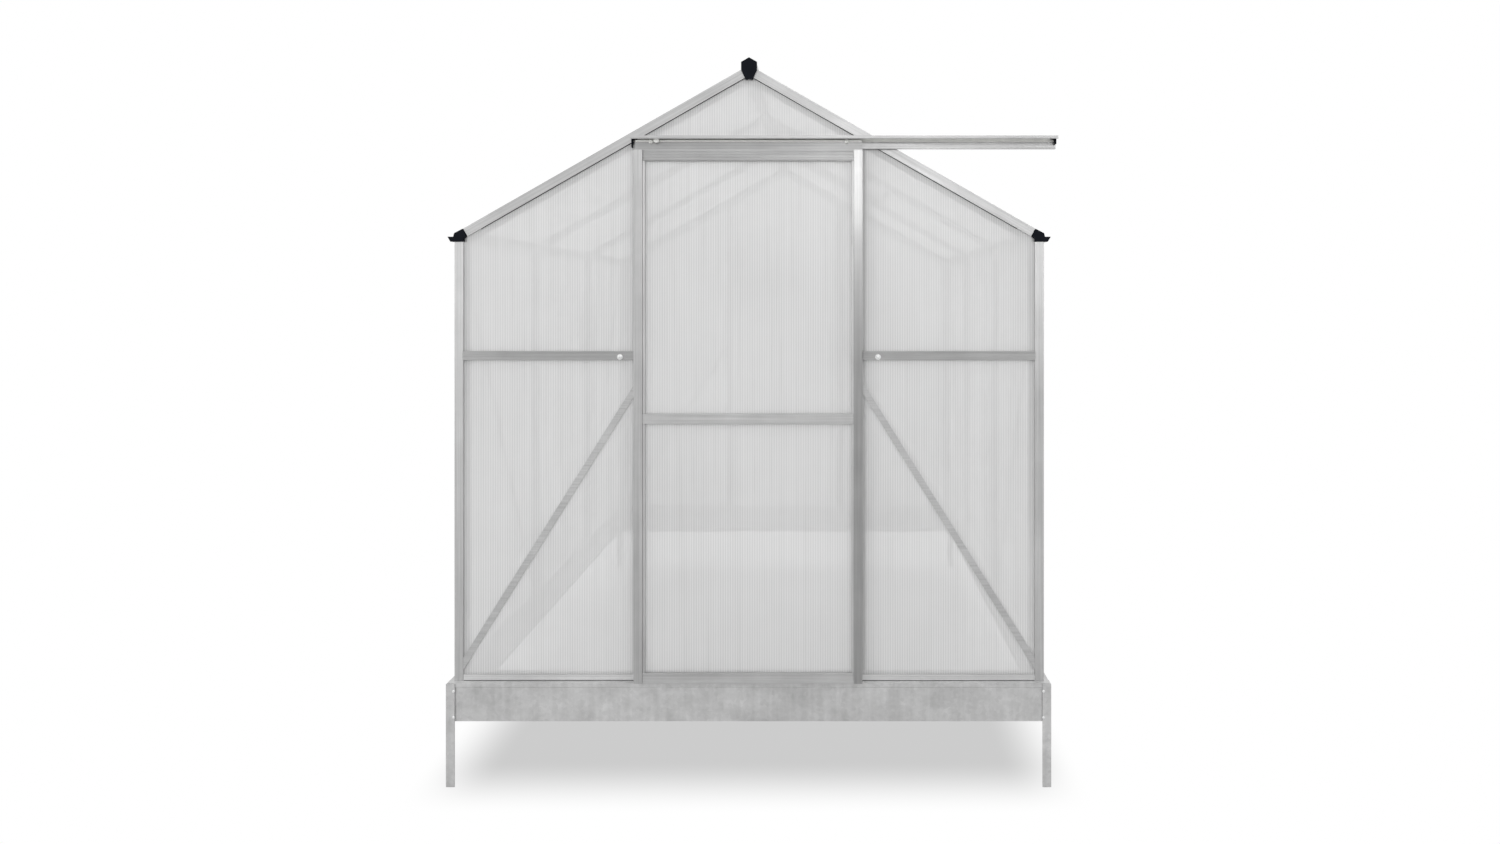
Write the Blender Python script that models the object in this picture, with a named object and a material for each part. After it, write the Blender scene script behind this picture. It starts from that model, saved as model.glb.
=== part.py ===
"""Walk-in garden greenhouse: aluminium frame, twin-wall sheets, sliding door, roof vent, steel base.

Driving dimensions are in millimetres; every object is built in metres, +Z up, +X to the right when
facing the door, +Y towards the back.  Local work happens about the middle of the wall plan at the
foot of the ground stakes, and one parent empty then puts the bottom centre of the whole on the origin.
"""
import math

import bmesh
import bpy
from mathutils import Vector

MM = 0.001
GAP = 0.3                      # clearance left between touching pieces

# ---- plan and heights ----------------------------------------------------------------------------
HALF_WIDTH = 929.0             # outer face of the side walls
HALF_DEPTH = 929.0             # outer face of the front and rear walls
STAKE_DROP = 204.0             # stake below the base
BASE_HEIGHT = 120.0
BASE_TOP = STAKE_DROP + BASE_HEIGHT
POST_TOP = BASE_TOP + 1384.0
APEX = BASE_TOP + 1941.0       # where the two roof lines meet
EAVE = BASE_TOP + 1410.0       # roof line above the outer wall face
SLOPE = math.atan2(APEX - EAVE, HALF_WIDTH)
COS, SIN = math.cos(SLOPE), math.sin(SLOPE)
BAY = 2.0 * HALF_DEPTH / 3.0   # three bays from front to back

# ---- extruded frame sections ---------------------------------------------------------------------
WALL = 2.0                     # wall thickness of the aluminium sections
LIP = 28.0                     # outer face of posts and end rafters
POCKET = WALL + 5.2            # far side of the slot that takes a sheet
FLANGE = POCKET + WALL
BOSS = 14.0
LEG = 48.0
SHEET = 4.0                    # twin-wall sheet
SHEET_FACE = 2.6               # sheet's outer face, in from the wall or roof line
SHEET_BACK = SHEET_FACE + SHEET
SHEET_EDGE = BOSS + 1.0        # sheet's edge, in from the corner
SHEET_FOOT = BASE_TOP + 8.0
SHEET_SHOULDER = POST_TOP - 0.5
SHEET_NOTCH = 890.0            # gable sheets stop here above the shoulder, clear of the gutters
GABLE_SHEET_TOP = APEX - 48.0  # clear of the ridge beam's web
BAR_TOP = SHEET_BACK + 0.4     # glazing bars lie behind the sheets
BAR_FACE = 36.0
BAR_DEPTH = 32.0
BAR_WEB = 2.4
SILL_FACE = 19.0
SILL_BACK = 30.0
SILL_DEPTH = 28.0
RAIL_HEIGHT = 28.5
RAIL_DEPTH = 8.3
RAIL_LEVEL = BASE_TOP + 1025.0
BRACE_WIDTH = 20.0
BRACE_HIGH = BASE_TOP + 922.0
BRACE_LOW = BASE_TOP + 54.0
BRACE_THICK = 2.5

# ---- galvanised base -----------------------------------------------------------------------------
BASE_OVERHANG = 18.0           # stake face, outside the wall face
STAKE_THICK = 2.5
STAKE_FACE = 27.0
STEEL = 1.5
BASE_FLANGE = 45.0
BASE_BAND = 12.0               # proud band below the top fold
BASE_RETURN = 14.0

# ---- roof edge pieces ----------------------------------------------------------------------------
RAFTER_TOP = 25.5 / COS        # distances down the slope from the apex
RAFTER_END = 902.0 / COS
BAR_END = 897.0 / COS
ROOF_SHEET_TOP = 12.0
ROOF_SHEET_END = 932.0 / COS
GUTTER_INNER = 899.0
GUTTER_WEB = 927.0
GUTTER_FLOOR = 941.0
GUTTER_LIP = 950.0
GUTTER_DEPTH = 15.5
CAP_BACK = 9.0
CAP_PROUD = 3.0
RIDGE_HALF = 23.5
RIDGE_HOOD = 20.5              # its top, above the apex of the roof lines
RIDGE_CAP_THICK = 5.0

# ---- door, its opening and its track -------------------------------------------------------------
OPENING_HALF = 328.0
JAMB_FACE = 30.0
JAMB_DEPTH = 30.0
JAMB_SLOT = 10.0               # bottom of the slot for the side sheet
JAMB_WING = 40.0               # end of the flange behind that sheet
DOOR_HALF = 355.5
DOOR_BACK = 13.0               # door planes, out from the front wall face
DOOR_FACE = 35.0
DOOR_FOOT = BASE_TOP + 8.0
STILE_TOP = BASE_TOP + 1667.5
STILE_FACE = 27.0
STILE_LIP = 6.5
STILE_WALL = 1.8
DOOR_RAIL = 32.0
DOOR_RAIL_FACE = 33.0
DOOR_MID = BASE_TOP + 830.0
DOOR_SHEET = 19.0
HEAD_RAIL_FOOT = BASE_TOP + 1634.0
HEAD_RAIL_TOP = BASE_TOP + 1670.0
HEAD_RAIL_FACE = 30.0
HANGER_THICK = 2.5
HANGER_TOP = BASE_TOP + 1701.0
TRACK_LEFT = -367.0
TRACK_RIGHT = 963.0
TRACK_FOOT = BASE_TOP + 1675.0
TRACK_TOP = BASE_TOP + 1711.0
TRACK_DEPTH = 38.0
TRACK_LIP = 8.0
WHEEL_RADIUS = 10.0
WHEEL_BORE = 2.6
WHEEL_WIDTH = 8.0
GROOVE = 1.4
GROOVE_HALF = (1.3, 1.7)       # half its width, at the bottom and at the rim
WHEEL_PLANE = 8.0              # wheel's middle, out from the front wall face
WHEEL_X = 306.0
WHEEL_Z = BASE_TOP + 1695.5

# ---- roof vent, in the middle bay of the right slope ---------------------------------------------
VENT_TOP = 32.0                # down the slope from the apex
VENT_END = 590.0
VENT_HALF = 300.0
VENT_THICK = 13.7
VENT_HINGE = (30.0, -7.0)      # (down the slope, below the roof line)
VENT_HOLE = (45.0, 565.0)
VENT_HOLE_HALF = 280.0
STAY_PIVOT = (540.0, 9.0)
STAY_LENGTH = 340.0
STAY_HALF = 8.0
STAY_THICK = 3.0

# ---- whole object's middle, which the parent empty moves to the origin ---------------------------
MIDDLE_X = (TRACK_RIGHT - GUTTER_LIP) / 2.0
MIDDLE_Y = (BASE_OVERHANG - TRACK_DEPTH) / 2.0

X = Vector((1.0, 0.0, 0.0))
Y = Vector((0.0, 1.0, 0.0))
Z = Vector((0.0, 0.0, 1.0))


# ---- helpers -------------------------------------------------------------------------------------
def clear_scene():
    """Remove whatever the file holds."""
    for obj in list(bpy.data.objects):
        bpy.data.objects.remove(obj, do_unlink=True)


def material(name, colour, roughness, metallic, alpha=1.0):
    """A plain finish for one family of pieces."""
    finish = bpy.data.materials.new(name)
    finish.use_nodes = True
    shader = finish.node_tree.nodes["Principled BSDF"]
    shader.inputs["Base Color"].default_value = (*colour, 1.0)
    shader.inputs["Roughness"].default_value = roughness
    shader.inputs["Metallic"].default_value = metallic
    shader.inputs["Alpha"].default_value = alpha
    finish.diffuse_color = (*colour, alpha)
    return finish


def add_empty(name, place, parent=None):
    """An empty at place (mm), used as the parent of pieces that stay or move together."""
    empty = bpy.data.objects.new(name, None)
    bpy.context.scene.collection.objects.link(empty)
    empty.location = place * MM
    empty.parent = parent
    return empty


def roof_point(side, slope, depth, y=0.0):
    """Point at a distance down the slope and a depth below the roof line, on side -1 or +1."""
    return Vector((side * (slope * COS - depth * SIN), y, APEX - slope * SIN - depth * COS))


def roof_line(x):
    """Height of the roof line above a distance x from the middle."""
    return APEX - x * math.tan(SLOPE)


def mirrored(outline):
    """The outline reflected in its second axis, for the other side of the house."""
    return [(-a, b) for a, b in outline]


class Shop:
    """Makes prisms, and hangs each one on the parent that it belongs to."""

    def __init__(self, parent, offset):
        self.parent = parent
        self.offset = offset

    def mesh_object(self, name, bottom, top, finish, origin):
        """Close two matching rings of points (mm) into a prism with flat ends."""
        build = bmesh.new()
        low = [build.verts.new((p - origin) * MM) for p in bottom]
        high = [build.verts.new((p - origin) * MM) for p in top]
        build.faces.new(low)
        build.faces.new(high)
        for i in range(len(low)):
            j = (i + 1) % len(low)
            build.faces.new((low[i], low[j], high[j], high[i]))
        bmesh.ops.recalc_face_normals(build, faces=build.faces)
        mesh = bpy.data.meshes.new(name)
        build.to_mesh(mesh)
        build.free()
        mesh.materials.append(finish)
        obj = bpy.data.objects.new(name, mesh)
        bpy.context.scene.collection.objects.link(obj)
        obj.parent = self.parent
        obj.location = (origin - self.offset) * MM
        return obj

    def prism(self, name, outline, finish, at, a, b, along, length, origin=None):
        """Extrude an outline, drawn on the directions a and b from the point at, for a length."""
        start = [at + a * u + b * v for u, v in outline]
        end = [p + along * length for p in start]
        return self.mesh_object(name, start, end, finish, at if origin is None else origin)

    def mitred(self, name, outline, finish, at, inward, along, half):
        """Extrude an outline of (inward, up) points both ways, its ends cut at 45 degrees."""
        ends = []
        for sign in (-1.0, 1.0):
            ends.append([at + inward * d + Z * h + along * sign * (half - d - GAP) for d, h in outline])
        return self.mesh_object(name, ends[0], ends[1], finish, at)


def carve(obj, name, low, high, at, a, b, c):
    """Cut the box from low to high, given along the directions a, b and c, out of an object."""
    box = bpy.data.meshes.new(name)
    build = bmesh.new()
    bmesh.ops.create_cube(build, size=1.0)
    for vert in build.verts:
        u, v, w = (lo + (hi - lo) * (t + 0.5) for lo, hi, t in zip(low, high, vert.co))
        vert.co = (at + a * u + b * v + c * w) * MM
    build.normal_update()
    bmesh.ops.recalc_face_normals(build, faces=build.faces)
    build.to_mesh(box)
    build.free()
    cutter = bpy.data.objects.new(name, box)
    bpy.context.scene.collection.objects.link(cutter)
    cutter.parent = bpy.data.objects["greenhouse"]
    cutter.hide_render = True
    cutter.display_type = "WIRE"
    cut = obj.modifiers.new(name, "BOOLEAN")
    cut.operation = "DIFFERENCE"
    cut.solver = "EXACT"
    cut.object = cutter
    return cutter


# ---- sections ------------------------------------------------------------------------------------
def corner_section():
    """Two sheet slots at right angles about a solid boss: corner posts and end rafters."""
    return [
        (0, 0), (LIP, 0), (LIP, WALL), (BOSS, WALL), (BOSS, POCKET), (LEG, POCKET), (LEG, FLANGE),
        (BOSS, FLANGE), (BOSS, BOSS), (FLANGE, BOSS), (FLANGE, LEG), (POCKET, LEG), (POCKET, BOSS),
        (WALL, BOSS), (WALL, LIP), (0, LIP),
    ]


def tee_section():
    """Glazing bar: a flat face towards the sheet and a web behind it."""
    face, web = BAR_FACE / 2.0, BAR_WEB / 2.0
    back = BAR_TOP + WALL
    return [
        (-face, BAR_TOP), (face, BAR_TOP), (face, back), (web, back), (web, BAR_DEPTH),
        (-web, BAR_DEPTH), (-web, back), (-face, back),
    ]


def sill_section():
    """(inward, up): foot plate, outer lip, and a taller flange behind the sheet."""
    return [
        (0, 0), (SILL_DEPTH, 0), (SILL_DEPTH, WALL), (FLANGE, WALL), (FLANGE, SILL_BACK),
        (POCKET, SILL_BACK), (POCKET, 7), (WALL, 7), (WALL, SILL_FACE), (0, SILL_FACE),
    ]


def channel_section(height, depth):
    """(up, out): a shallow C with its back open."""
    return [
        (0, 0), (0, depth), (height, depth), (height, 0), (height - WALL, 0),
        (height - WALL, depth - WALL), (WALL, depth - WALL), (WALL, 0),
    ]


def base_section():
    """(inward, down): folded steel with a proud top band and a return at the foot."""
    step = STEEL
    return [
        (BASE_FLANGE, 0), (0, 0), (0, -BASE_BAND), (step, -BASE_BAND - 2), (step, -BASE_HEIGHT),
        (BASE_RETURN, -BASE_HEIGHT), (BASE_RETURN, STEEL - BASE_HEIGHT),
        (step + STEEL, STEEL - BASE_HEIGHT), (step + STEEL, -BASE_BAND - 1.4),
        (STEEL, 0.6 - BASE_BAND), (STEEL, -STEEL), (BASE_FLANGE, -STEEL),
    ]


def gutter_section():
    """(out from the middle, height): sheet seat, web, trough and slanting lip of the right gutter."""
    seat = POCKET / COS
    under = FLANGE / COS
    floor = POST_TOP
    return [
        (GUTTER_INNER, roof_line(GUTTER_INNER) - seat), (GUTTER_WEB, roof_line(GUTTER_WEB) - seat),
        (GUTTER_WEB, floor + WALL), (GUTTER_FLOOR - 1.5, floor + WALL),
        (GUTTER_LIP - WALL, floor + GUTTER_DEPTH), (GUTTER_LIP, floor + GUTTER_DEPTH),
        (GUTTER_FLOOR, floor), (GUTTER_INNER, floor), (GUTTER_INNER, floor + WALL),
        (GUTTER_WEB - WALL, floor + WALL), (GUTTER_WEB - WALL, roof_line(GUTTER_WEB - WALL) - under),
        (GUTTER_INNER, roof_line(GUTTER_INNER) - under),
    ]


def gutter_cap_outline():
    """(out from the middle, height): the plate that closes a gutter and the corner above a post."""
    floor = POST_TOP
    return [
        (GUTTER_LIP, floor + GUTTER_DEPTH), (932, floor + GUTTER_DEPTH), (929, floor + 26.7),
        (903, floor + 40.4), (891.4, floor + 19), (901, floor + 8.8), (901, floor), (GUTTER_FLOOR, floor),
    ]


def ridge_section():
    """(across, height): hooded ridge with a seat each side for the sheets and a web below."""
    seat, under, web = POCKET / COS, FLANGE / COS, 2.5
    reach = RIDGE_HALF - 3.0
    right = [
        (RIDGE_HALF, APEX + 7), (RIDGE_HALF, APEX - 9.5), (RIDGE_HALF - WALL, APEX - 9.5),
        (RIDGE_HALF - WALL, APEX + 5.8), (web, APEX + 16.7), (web, roof_line(web) - seat),
        (reach, roof_line(reach) - seat), (reach, roof_line(reach) - under),
        (web, roof_line(web) - under), (web, APEX - 46),
    ]
    return [(0, APEX + RIDGE_HOOD)] + right + mirrored(reversed(right))


def ridge_cap_outline():
    """(across, height): faceted plug over the ridge's end."""
    right = [(25, APEX + 8.5), (25, APEX - 16), (11, APEX - 46.4)]
    return [(0, APEX + 23)] + right + mirrored(reversed(right))


def jamb_section():
    """(away from the opening, inward): slot for the side sheet and a web along the opening."""
    return [
        (0, 0), (JAMB_FACE, 0), (JAMB_FACE, WALL), (JAMB_SLOT, WALL), (JAMB_SLOT, POCKET),
        (JAMB_WING, POCKET), (JAMB_WING, FLANGE), (WALL, FLANGE), (WALL, JAMB_DEPTH), (0, JAMB_DEPTH),
    ]


def stile_section():
    """(in from the door's edge, out from the wall): a box open at the back, with a sheet slot."""
    inner = STILE_FACE - STILE_WALL
    lip = STILE_FACE + STILE_LIP
    slot_back, slot_face = DOOR_SHEET - 1.0, DOOR_SHEET + SHEET + 1.0
    return [
        (0, DOOR_BACK), (STILE_WALL, DOOR_BACK), (STILE_WALL, DOOR_FACE - STILE_WALL),
        (inner, DOOR_FACE - STILE_WALL), (inner, DOOR_BACK), (STILE_FACE, DOOR_BACK),
        (STILE_FACE, slot_back - WALL), (lip, slot_back - WALL), (lip, slot_back),
        (STILE_FACE, slot_back), (STILE_FACE, slot_face), (lip, slot_face), (lip, slot_face + WALL),
        (STILE_FACE, slot_face + WALL), (STILE_FACE, DOOR_FACE), (0, DOOR_FACE),
    ]


def head_rail_section():
    """(out from the wall, height): hooded rail with the tall plate that hangs on the wheels."""
    plate, face = DOOR_BACK + HANGER_THICK, HEAD_RAIL_FACE
    return [
        (DOOR_BACK, HEAD_RAIL_FOOT), (plate, HEAD_RAIL_FOOT), (plate, HEAD_RAIL_TOP - WALL),
        (face - WALL, HEAD_RAIL_TOP - WALL), (face - WALL, HEAD_RAIL_FOOT), (face, HEAD_RAIL_FOOT),
        (face, HEAD_RAIL_TOP), (plate, HEAD_RAIL_TOP), (plate, HANGER_TOP), (DOOR_BACK, HANGER_TOP),
    ]


def track_section():
    """(out from the wall, height): back, hooded top and the rib that the wheels run on."""
    rib = WHEEL_Z - WHEEL_RADIUS + GROOVE - GAP
    rib_back, rib_face = WHEEL_PLANE - 1.0, WHEEL_PLANE + 1.0
    back = GAP + WALL
    return [
        (GAP, TRACK_FOOT), (rib_face, TRACK_FOOT), (rib_face, rib), (rib_back, rib),
        (rib_back, TRACK_FOOT + WALL), (back, TRACK_FOOT + WALL), (back, TRACK_TOP - WALL),
        (TRACK_DEPTH - WALL, TRACK_TOP - WALL), (TRACK_DEPTH - WALL, TRACK_TOP - TRACK_LIP),
        (TRACK_DEPTH, TRACK_TOP - TRACK_LIP), (TRACK_DEPTH, TRACK_TOP), (GAP, TRACK_TOP),
    ]


# ---- base ----------------------------------------------------------------------------------------
def make_base(shop, steel):
    """Four folded sides mitred at the corners."""
    half_x = HALF_WIDTH + BASE_OVERHANG - STAKE_THICK - GAP
    half_y = HALF_DEPTH + BASE_OVERHANG - STAKE_THICK - GAP
    sides = (
        ("base_front", -half_y * Y, Y, X, half_x),
        ("base_rear", half_y * Y, -Y, X, half_x),
        ("base_left", -half_x * X, X, Y, half_y),
        ("base_right", half_x * X, -X, Y, half_y),
    )
    for name, middle, inward, along, half in sides:
        shop.mitred(name, base_section(), steel, middle + Z * BASE_TOP, inward, along, half)


def make_stakes(shop, steel):
    """Angle stakes outside the four corners of the base."""
    outline = [
        (0, 0), (STAKE_FACE, 0), (STAKE_FACE, STAKE_THICK), (STAKE_THICK, STAKE_THICK),
        (STAKE_THICK, STAKE_FACE), (0, STAKE_FACE),
    ]
    for end, sy in (("front", -1), ("rear", 1)):
        for side, sx in (("left", -1), ("right", 1)):
            corner = Vector((sx * (HALF_WIDTH + BASE_OVERHANG), sy * (HALF_DEPTH + BASE_OVERHANG), 0))
            shop.prism(f"ground_stake_{end}_{side}", outline, steel, corner, -sx * X, -sy * Y, Z,
                       BASE_TOP - 2.0)


# ---- wall frame ----------------------------------------------------------------------------------
def make_posts(shop, aluminium):
    """Corner posts, with the feet of their inner flanges cut away over the sills."""
    for end, sy in (("front", -1), ("rear", 1)):
        for side, sx in (("left", -1), ("right", 1)):
            corner = Vector((sx * HALF_WIDTH, sy * HALF_DEPTH, BASE_TOP + GAP))
            name = f"corner_post_{end}_{side}"
            post = shop.prism(name, corner_section(), aluminium, corner, -sx * X, -sy * Y, Z,
                              POST_TOP - BASE_TOP - 2 * GAP)
            reach, foot = LEG + 5.0, SILL_BACK + 2 * GAP
            carve(post, f"{name}_notch_x", (LIP + GAP, -5, -5), (reach, reach, foot),
                  corner, -sx * X, -sy * Y, Z)
            carve(post, f"{name}_notch_y", (-5, LIP + GAP, -5), (reach, reach, foot),
                  corner, -sx * X, -sy * Y, Z)


def make_sills(shop, aluminium):
    """Bottom rails between the corner posts."""
    start_x = HALF_WIDTH - LIP - 2 * GAP
    start_y = HALF_DEPTH - LIP - 2 * GAP
    rest = Z * (BASE_TOP + GAP)
    sills = (
        ("sill_front", Vector((-start_x, -HALF_DEPTH, 0)), Y, X, start_x),
        ("sill_rear", Vector((-start_x, HALF_DEPTH, 0)), -Y, X, start_x),
        ("sill_left", Vector((-HALF_WIDTH, -start_y, 0)), X, Y, start_y),
        ("sill_right", Vector((HALF_WIDTH, -start_y, 0)), -X, Y, start_y),
    )
    for name, start, inward, along, half in sills:
        shop.prism(name, sill_section(), aluminium, start + rest, inward, Z, along, 2 * half)


def make_studs(shop, aluminium):
    """Side glazing bars at the bay lines, from the sill's flange to the gutter."""
    foot = BASE_TOP + SILL_BACK + 2 * GAP
    for side, sx in (("left", -1), ("right", 1)):
        for place, y in (("front", -BAY / 2), ("rear", BAY / 2)):
            at = Vector((sx * HALF_WIDTH, y, foot))
            shop.prism(f"side_stud_{side}_{place}", tee_section(), aluminium, at, Y, -sx * X, Z,
                       POST_TOP - foot - GAP)


def make_jambs(shop, aluminium):
    """Door jambs, from the sill's flange up to the rafters."""
    foot = BASE_TOP + SILL_BACK + 2 * GAP
    top = roof_line(OPENING_HALF + JAMB_WING) - (LEG + 1.0) / COS
    for side, sx in (("left", -1), ("right", 1)):
        at = Vector((sx * OPENING_HALF, -HALF_DEPTH, foot))
        shop.prism(f"door_jamb_{side}", jamb_section(), aluminium, at, sx * X, Y, Z, top - foot)


def make_mid_rails(shop, aluminium):
    """Rails across the front, between the corner posts and the jambs."""
    inner = OPENING_HALF + JAMB_FACE + GAP
    outer = HALF_WIDTH - LIP - GAP
    for side, sx in (("left", -1), ("right", 1)):
        at = Vector((sx * inner, -HALF_DEPTH + SHEET_FACE - GAP, RAIL_LEVEL - RAIL_HEIGHT / 2))
        shop.prism(f"front_mid_rail_{side}", channel_section(RAIL_HEIGHT, RAIL_DEPTH), aluminium, at,
                   Z, -Y, sx * X, outer - inner)


def make_braces(shop, aluminium):
    """Flat straps in front of the sheets, from each jamb down to the foot of the corner post."""
    inner = OPENING_HALF + JAMB_FACE + GAP
    outer = HALF_WIDTH - LIP - GAP
    lean = math.atan2(BRACE_HIGH - BRACE_LOW, outer - inner)
    rise = BRACE_WIDTH / 2.0 / math.cos(lean)
    outline = [
        (inner, BRACE_HIGH - rise), (inner, BRACE_HIGH + rise),
        (outer, BRACE_LOW + rise), (outer, BRACE_LOW - rise),
    ]
    for side, sx in (("left", -1), ("right", 1)):
        at = Vector((0, -HALF_DEPTH + SHEET_FACE - GAP - BRACE_THICK, 0))
        middle = Vector((sx * (inner + outer) / 2, -HALF_DEPTH, (BRACE_HIGH + BRACE_LOW) / 2))
        shop.prism(f"front_brace_{side}", outline, aluminium, at, sx * X, Z, Y, BRACE_THICK,
                   origin=middle)


# ---- roof frame ----------------------------------------------------------------------------------
def make_rafters(shop, aluminium):
    """End rafters of both gables: square-cut lengths of the corner section."""
    for end, sy in (("front", -1), ("rear", 1)):
        for side, sx in (("left", -1), ("right", 1)):
            top = roof_point(sx, RAFTER_TOP, 0, sy * HALF_DEPTH)
            down = Vector((sx * COS, 0, -SIN))
            below = Vector((-sx * SIN, 0, -COS))
            shop.prism(f"rafter_{end}_{side}", corner_section(), aluminium, top, below, -sy * Y, down,
                       RAFTER_END - RAFTER_TOP)


def make_roof_bars(shop, aluminium):
    """Glazing bars under the roof sheets at the bay lines."""
    for side, sx in (("left", -1), ("right", 1)):
        for place, y in (("front", -BAY / 2), ("rear", BAY / 2)):
            top = roof_point(sx, RAFTER_TOP, 0, y)
            down = Vector((sx * COS, 0, -SIN))
            below = Vector((-sx * SIN, 0, -COS))
            shop.prism(f"roof_bar_{side}_{place}", tee_section(), aluminium, top, Y, below, down,
                       BAR_END - RAFTER_TOP)


def make_ridge(shop, aluminium):
    """One ridge beam from gable to gable."""
    shop.prism("ridge_beam", ridge_section(), aluminium, -HALF_DEPTH * Y, X, Z, Y, 2 * HALF_DEPTH,
               origin=APEX * Z)


def make_gutters(shop, aluminium, plastic):
    """Eave gutters, and the plastic plates that close their front ends."""
    start = HALF_DEPTH - CAP_BACK - GAP
    for side, sx in (("left", -1), ("right", 1)):
        eave = Vector((sx * HALF_WIDTH, 0, POST_TOP))
        shop.prism(f"gutter_{side}", gutter_section(), aluminium, -start * Y, sx * X, Z, Y, 2 * start,
                   origin=eave)
        face = -HALF_DEPTH - CAP_PROUD
        shop.prism(f"gutter_cap_{side}", gutter_cap_outline(), plastic, face * Y, sx * X, Z, Y,
                   CAP_BACK + CAP_PROUD, origin=eave + face * Y)


def make_ridge_cap(shop, plastic):
    """Plug over the front end of the ridge."""
    face = -HALF_DEPTH - GAP - RIDGE_CAP_THICK
    shop.prism("ridge_cap", ridge_cap_outline(), plastic, face * Y, X, Z, Y, RIDGE_CAP_THICK,
               origin=APEX * Z + face * Y)


# ---- sheets --------------------------------------------------------------------------------------
def gable_edge(x):
    """Height of a gable sheet's top edge in the rafter's slot."""
    return roof_line(x) - SHEET_EDGE / COS


def gable_peak():
    """Half the width of a gable sheet's level top edge."""
    return (APEX - SHEET_EDGE / COS - GABLE_SHEET_TOP) / math.tan(SLOPE)


def make_front_sheets(shop, clear):
    """Two sheets beside the door and a small one over it."""
    face = (-HALF_DEPTH + SHEET_FACE) * Y
    outer, inner = HALF_WIDTH - SHEET_EDGE, OPENING_HALF + JAMB_SLOT + 1.0
    outline = [
        (outer, SHEET_FOOT), (inner, SHEET_FOOT), (inner, gable_edge(inner)),
        (SHEET_NOTCH, gable_edge(SHEET_NOTCH)), (SHEET_NOTCH, SHEET_SHOULDER), (outer, SHEET_SHOULDER),
    ]
    for side, sx in (("left", -1), ("right", 1)):
        middle = Vector((sx * (outer + inner) / 2, -HALF_DEPTH, POST_TOP / 2))
        shop.prism(f"sheet_front_{side}", outline, clear, face, sx * X, Z, Y, SHEET, origin=middle)
    wide = inner - 1.5
    lintel = roof_line(OPENING_HALF + JAMB_WING) - (LEG - 1.0) / COS
    right = [(wide, lintel), (wide, gable_edge(wide)), (gable_peak(), GABLE_SHEET_TOP)]
    shop.prism("sheet_gable_front", right + mirrored(reversed(right)), clear, face, X, Z, Y, SHEET,
               origin=GABLE_SHEET_TOP * Z + face)


def make_rear_sheet(shop, clear):
    """The whole rear wall and gable."""
    outer = HALF_WIDTH - SHEET_EDGE
    right = [
        (outer, SHEET_FOOT), (outer, SHEET_SHOULDER), (SHEET_NOTCH, SHEET_SHOULDER),
        (SHEET_NOTCH, gable_edge(SHEET_NOTCH)), (gable_peak(), GABLE_SHEET_TOP),
    ]
    face = (HALF_DEPTH - SHEET_FACE) * Y
    shop.prism("sheet_rear", right + mirrored(reversed(right)), clear, face, X, Z, -Y, SHEET,
               origin=face + POST_TOP / 2 * Z)


def make_side_sheets(shop, clear):
    """Side walls, from the sill's slot to the gutter's floor."""
    half = HALF_DEPTH - SHEET_EDGE
    outline = [
        (-half, SHEET_FOOT), (half, SHEET_FOOT), (half, SHEET_SHOULDER), (-half, SHEET_SHOULDER),
    ]
    for side, sx in (("left", -1), ("right", 1)):
        face = sx * (HALF_WIDTH - SHEET_FACE) * X
        shop.prism(f"sheet_{side}", outline, clear, face, Y, Z, -sx * X, SHEET,
                   origin=face + POST_TOP / 2 * Z)


def make_roof_sheets(shop, clear):
    """Roof slopes, the right one with the hole under the vent."""
    half = HALF_DEPTH - SHEET_EDGE
    outline = [
        (-half, ROOF_SHEET_TOP), (half, ROOF_SHEET_TOP), (half, ROOF_SHEET_END), (-half, ROOF_SHEET_END),
    ]
    for side, sx in (("left", -1), ("right", 1)):
        apex = roof_point(sx, 0, 0)
        down = Vector((sx * COS, 0, -SIN))
        below = Vector((-sx * SIN, 0, -COS))
        name = f"sheet_roof_{side}"
        sheet = shop.prism(name, outline, clear, apex + below * SHEET_FACE, Y, down, below, SHEET)
        if side == "right":
            carve(sheet, f"{name}_hole", (-VENT_HOLE_HALF, VENT_HOLE[0], -5.0),
                  (VENT_HOLE_HALF, VENT_HOLE[1], 15.0), apex, Y, down, below)


# ---- door ----------------------------------------------------------------------------------------
def make_track(shop, aluminium):
    """The long hooded track on the front gable."""
    at = Vector((TRACK_LEFT, -HALF_DEPTH, 0))
    origin = Vector((TRACK_LEFT, -HALF_DEPTH, TRACK_FOOT))
    shop.prism("door_track", track_section(), aluminium, at, -Y, Z, X, TRACK_RIGHT - TRACK_LEFT,
               origin=origin)


def make_door_frame(shop, aluminium):
    """Stiles, head rail with its hanging plate, and the lower two rails."""
    front = -HALF_DEPTH * Y
    for side, sx in (("left", -1), ("right", 1)):
        at = Vector((sx * DOOR_HALF, -HALF_DEPTH, DOOR_FOOT))
        shop.prism(f"door_stile_{side}", stile_section(), aluminium, at, -sx * X, -Y, Z,
                   STILE_TOP - DOOR_FOOT)
    head = shop.prism("door_rail_top", head_rail_section(), aluminium, front - DOOR_HALF * X, -Y, Z, X,
                      2 * DOOR_HALF, origin=front + HEAD_RAIL_FOOT * Z)
    for side, sx in (("left", -1), ("right", 1)):
        carve(head, f"door_rail_top_notch_{side}", (-5, 5, HEAD_RAIL_FOOT - 5),
              (STILE_FACE + GAP, 40, STILE_TOP + GAP), front + sx * DOOR_HALF * X, -sx * X, -Y, Z)
    inner = DOOR_HALF - STILE_FACE - GAP
    seat = DOOR_SHEET + SHEET + 1.0 + WALL + GAP
    for name, foot in (("door_rail_mid", DOOR_MID - DOOR_RAIL / 2), ("door_rail_bottom", DOOR_FOOT)):
        at = front - seat * Y - inner * X + foot * Z
        shop.prism(name, channel_section(DOOR_RAIL, DOOR_RAIL_FACE - seat), aluminium, at, Z, -Y, X,
                   2 * inner)


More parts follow.
